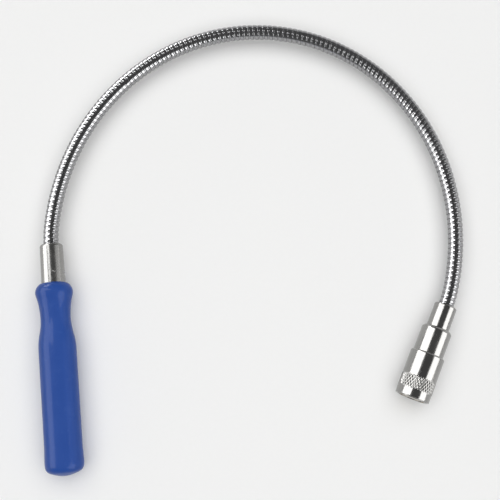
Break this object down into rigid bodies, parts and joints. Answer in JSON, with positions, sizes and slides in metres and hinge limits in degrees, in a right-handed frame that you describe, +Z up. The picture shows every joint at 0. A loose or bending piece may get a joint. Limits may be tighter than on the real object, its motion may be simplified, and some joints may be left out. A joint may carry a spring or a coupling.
{
  "type": "magnetic pickup tool",
  "caption": "Flexible magnetic pickup tool: blue slip-on grip on a chromed tube, wound gooseneck arm bent into a horseshoe, stepped head with a magnet and a sliding knurled sleeve.",
  "frame": {"origin": "on the table plane, under the centre of the bounding box of the tool as it lies", "axes": "+Z up from the table. +Y from the grip towards the top of the arch, +X from the grip towards the head. The arm is bent in a level plane, and the flare of the grip and the sleeve touch the table."},
  "size_m": [0.225, 0.2408, 0.0199],
  "materials": {
    "blue_vinyl": "gloss moulded vinyl",
    "chrome": "bright plated steel",
    "wound_wire": "bright plated round and triangular wire wound together",
    "magnet_plating": "nickel plating",
    "brass": "turned brass",
    "spring_steel": "dark oiled spring steel"
  },
  "bodies": {
    "handle": {"handle_tube": "chrome", "handle_grip": "blue_vinyl", "gooseneck_root": "wound_wire"},
    "neck_01": {"gooseneck_01": "wound_wire"},
    "neck_02": {"gooseneck_02": "wound_wire"},
    "neck_03": {"gooseneck_03": "wound_wire"},
    "neck_04": {"gooseneck_04": "wound_wire"},
    "neck_05": {"gooseneck_05": "wound_wire"},
    "neck_06": {"gooseneck_06": "wound_wire"},
    "neck_07": {"gooseneck_07": "wound_wire"},
    "neck_08": {"gooseneck_08": "wound_wire"},
    "neck_09": {"gooseneck_09": "wound_wire"},
    "neck_10": {"gooseneck_10": "wound_wire"},
    "neck_11": {"gooseneck_11": "wound_wire"},
    "neck_12": {"gooseneck_12": "wound_wire"},
    "neck_13": {"gooseneck_13": "wound_wire"},
    "neck_14": {"gooseneck_14": "wound_wire"},
    "neck_15": {"gooseneck_15": "wound_wire"},
    "neck_16": {"gooseneck_16": "wound_wire"},
    "neck_17": {"gooseneck_17": "wound_wire"},
    "neck_18": {"gooseneck_18": "wound_wire"},
    "neck_19": {"gooseneck_19": "wound_wire"},
    "neck_20": {"gooseneck_20": "wound_wire"},
    "neck_21": {"gooseneck_21": "wound_wire"},
    "neck_22": {"gooseneck_22": "wound_wire"},
    "neck_23": {"gooseneck_23": "wound_wire"},
    "neck_24": {"gooseneck_24": "wound_wire"},
    "neck_25": {"gooseneck_25": "wound_wire"},
    "neck_26": {"gooseneck_26": "wound_wire"},
    "neck_27": {"gooseneck_27": "wound_wire"},
    "neck_28": {"gooseneck_28": "wound_wire"},
    "neck_29": {"gooseneck_29": "wound_wire"},
    "neck_30": {"gooseneck_30": "wound_wire"},
    "neck_31": {"gooseneck_31": "wound_wire"},
    "neck_32": {"gooseneck_32": "wound_wire"},
    "neck_33": {"gooseneck_33": "wound_wire"},
    "neck_34": {"gooseneck_34": "wound_wire"},
    "neck_35": {"gooseneck_35": "wound_wire"},
    "neck_36": {"gooseneck_36": "wound_wire"},
    "neck_37": {"gooseneck_37": "wound_wire"},
    "neck_38": {"gooseneck_38": "wound_wire"},
    "head": {"gooseneck_end": "wound_wire", "head_collar": "chrome", "head_body": "chrome", "retaining_ring": "spring_steel", "magnet": "magnet_plating", "magnet_spacer": "brass", "backing_disc": "spring_steel"},
    "sleeve": {"knurled_sleeve": "chrome"}
  },
  "joints": [
    {"name": "sleeve_slide", "type": "slide", "parent": "head", "child": "sleeve", "axis": [0.373, 0.9278, -0.0019], "range_m": [0, 0.01]},
    {"name": "turn_base", "type": "hinge", "parent": "handle", "child": "neck_01", "pos_m": [-0.10559, 0.00359, 0.01001], "axis": [0.0065, -1, 0], "range_deg": [0, 180]},
    {"name": "bend_base", "type": "hinge", "parent": "neck_01", "child": "neck_02", "pos_m": [-0.1048, 0.01351, 0.01], "axis": [0.0051, 0, 1], "range_deg": [-4, 14]},
    {"name": "bend_base_02", "type": "hinge", "parent": "neck_02", "child": "neck_03", "pos_m": [-0.10323, 0.02334, 0.00999], "axis": [0.0051, 0, 1], "range_deg": [-4, 14]},
    {"name": "bend_base_03", "type": "hinge", "parent": "neck_03", "child": "neck_04", "pos_m": [-0.1009, 0.03301, 0.00998], "axis": [0.0051, 0, 1], "range_deg": [-4, 14]},
    {"name": "bend_base_04", "type": "hinge", "parent": "neck_04", "child": "neck_05", "pos_m": [-0.09782, 0.04247, 0.00997], "axis": [0.0051, 0, 1], "range_deg": [-4, 14]},
    {"name": "bend_base_05", "type": "hinge", "parent": "neck_05", "child": "neck_06", "pos_m": [-0.09398, 0.05164, 0.00995], "axis": [0.0051, 0, 1], "range_deg": [-4, 14]},
    {"name": "bend_base_06", "type": "hinge", "parent": "neck_06", "child": "neck_07", "pos_m": [-0.0894, 0.06048, 0.00992], "axis": [0.0051, 0, 1], "range_deg": [-4, 14]},
    {"name": "bend_base_07", "type": "hinge", "parent": "neck_07", "child": "neck_08", "pos_m": [-0.08411, 0.0689, 0.0099], "axis": [0.0051, 0, 1], "range_deg": [-4, 14]},
    {"name": "bend_base_08", "type": "hinge", "parent": "neck_08", "child": "neck_09", "pos_m": [-0.07812, 0.07685, 0.00987], "axis": [0.0051, 0, 1], "range_deg": [-4, 14]},
    {"name": "bend_base_09", "type": "hinge", "parent": "neck_09", "child": "neck_10", "pos_m": [-0.07148, 0.08425, 0.00983], "axis": [0.0051, 0, 1], "range_deg": [-4, 14]},
    {"name": "bend_base_10", "type": "hinge", "parent": "neck_10", "child": "neck_11", "pos_m": [-0.0642, 0.09104, 0.00979], "axis": [0.0051, 0, 1], "range_deg": [-4, 14]},
    {"name": "bend_base_11", "type": "hinge", "parent": "neck_11", "child": "neck_12", "pos_m": [-0.05635, 0.09715, 0.00975], "axis": [0.0051, 0, 1], "range_deg": [-4, 14]},
    {"name": "bend_base_12", "type": "hinge", "parent": "neck_12", "child": "neck_13", "pos_m": [-0.04798, 0.10252, 0.00971], "axis": [0.0051, 0, 1], "range_deg": [-4, 14]},
    {"name": "turn_middle", "type": "hinge", "parent": "neck_13", "child": "neck_14", "pos_m": [-0.03914, 0.10709, 0.00967], "axis": [-0.909, -0.4168, 0.0046], "range_deg": [0, 180]},
    {"name": "bend_middle", "type": "hinge", "parent": "neck_14", "child": "neck_15", "pos_m": [-0.02991, 0.1108, 0.00962], "axis": [0.0051, 0, 1], "range_deg": [-4, 14]},
    {"name": "bend_middle_02", "type": "hinge", "parent": "neck_15", "child": "neck_16", "pos_m": [-0.02037, 0.11362, 0.00957], "axis": [0.0051, 0, 1], "range_deg": [-4, 14]},
    {"name": "bend_middle_03", "type": "hinge", "parent": "neck_16", "child": "neck_17", "pos_m": [-0.0106, 0.1155, 0.00952], "axis": [0.0051, 0, 1], "range_deg": [-4, 14]},
    {"name": "bend_middle_04", "type": "hinge", "parent": "neck_17", "child": "neck_18", "pos_m": [-0.00069, 0.11642, 0.00947], "axis": [0.0051, 0, 1], "range_deg": [-4, 14]},
    {"name": "bend_middle_05", "type": "hinge", "parent": "neck_18", "child": "neck_19", "pos_m": [0.00925, 0.11636, 0.00942], "axis": [0.0051, 0, 1], "range_deg": [-4, 14]},
    {"name": "bend_middle_06", "type": "hinge", "parent": "neck_19", "child": "neck_20", "pos_m": [0.01915, 0.11531, 0.00937], "axis": [0.0051, 0, 1], "range_deg": [-4, 14]},
    {"name": "bend_middle_07", "type": "hinge", "parent": "neck_20", "child": "neck_21", "pos_m": [0.02889, 0.1133, 0.00932], "axis": [0.0051, 0, 1], "range_deg": [-4, 14]},
    {"name": "bend_middle_08", "type": "hinge", "parent": "neck_21", "child": "neck_22", "pos_m": [0.03839, 0.11033, 0.00927], "axis": [0.0051, 0, 1], "range_deg": [-4, 14]},
    {"name": "bend_middle_09", "type": "hinge", "parent": "neck_22", "child": "neck_23", "pos_m": [0.04754, 0.10645, 0.00923], "axis": [0.0051, 0, 1], "range_deg": [-4, 14]},
    {"name": "bend_middle_10", "type": "hinge", "parent": "neck_23", "child": "neck_24", "pos_m": [0.05628, 0.10169, 0.00918], "axis": [0.0051, 0, 1], "range_deg": [-4, 14]},
    {"name": "bend_middle_11", "type": "hinge", "parent": "neck_24", "child": "neck_25", "pos_m": [0.06451, 0.0961, 0.00914], "axis": [0.0051, 0, 1], "range_deg": [-4, 14]},
    {"name": "bend_middle_12", "type": "hinge", "parent": "neck_25", "child": "neck_26", "pos_m": [0.07218, 0.08976, 0.0091], "axis": [0.0051, 0, 1], "range_deg": [-4, 14]},
    {"name": "turn_tip", "type": "hinge", "parent": "neck_26", "child": "neck_27", "pos_m": [0.07921, 0.08272, 0.00907], "axis": [-0.673, 0.7396, 0.0034], "range_deg": [0, 180]},
    {"name": "bend_tip", "type": "hinge", "parent": "neck_27", "child": "neck_28", "pos_m": [0.08555, 0.07506, 0.00903], "axis": [-0.0051, 0, -1], "range_deg": [-14, 4]},
    {"name": "bend_tip_02", "type": "hinge", "parent": "neck_28", "child": "neck_29", "pos_m": [0.09117, 0.06685, 0.009], "axis": [-0.0051, 0, -1], "range_deg": [-14, 4]},
    {"name": "bend_tip_03", "type": "hinge", "parent": "neck_29", "child": "neck_30", "pos_m": [0.09604, 0.05817, 0.00898], "axis": [-0.0051, 0, -1], "range_deg": [-14, 4]},
    {"name": "bend_tip_04", "type": "hinge", "parent": "neck_30", "child": "neck_31", "pos_m": [0.10012, 0.0491, 0.00896], "axis": [-0.0051, 0, -1], "range_deg": [-14, 4]},
    {"name": "bend_tip_05", "type": "hinge", "parent": "neck_31", "child": "neck_32", "pos_m": [0.10341, 0.03971, 0.00894], "axis": [-0.0051, 0, -1], "range_deg": [-14, 4]},
    {"name": "bend_tip_06", "type": "hinge", "parent": "neck_32", "child": "neck_33", "pos_m": [0.10589, 0.03007, 0.00893], "axis": [-0.0051, 0, -1], "range_deg": [-14, 4]},
    {"name": "bend_tip_07", "type": "hinge", "parent": "neck_33", "child": "neck_34", "pos_m": [0.10756, 0.02026, 0.00892], "axis": [-0.0051, 0, -1], "range_deg": [-14, 4]},
    {"name": "bend_tip_08", "type": "hinge", "parent": "neck_34", "child": "neck_35", "pos_m": [0.10843, 0.01035, 0.00892], "axis": [-0.0051, 0, -1], "range_deg": [-14, 4]},
    {"name": "bend_tip_09", "type": "hinge", "parent": "neck_35", "child": "neck_36", "pos_m": [0.10849, 0.00041, 0.00892], "axis": [-0.0051, 0, -1], "range_deg": [-14, 4]},
    {"name": "bend_tip_10", "type": "hinge", "parent": "neck_36", "child": "neck_37", "pos_m": [0.10777, -0.00952, 0.00892], "axis": [-0.0051, 0, -1], "range_deg": [-14, 4]},
    {"name": "bend_tip_11", "type": "hinge", "parent": "neck_37", "child": "neck_38", "pos_m": [0.10627, -0.01935, 0.00893], "axis": [-0.0051, 0, -1], "range_deg": [-14, 4]},
    {"name": "bend_tip_12", "type": "hinge", "parent": "neck_38", "child": "head", "pos_m": [0.10401, -0.02904, 0.00894], "axis": [-0.0051, 0, -1], "range_deg": [-14, 4]}
  ]
}
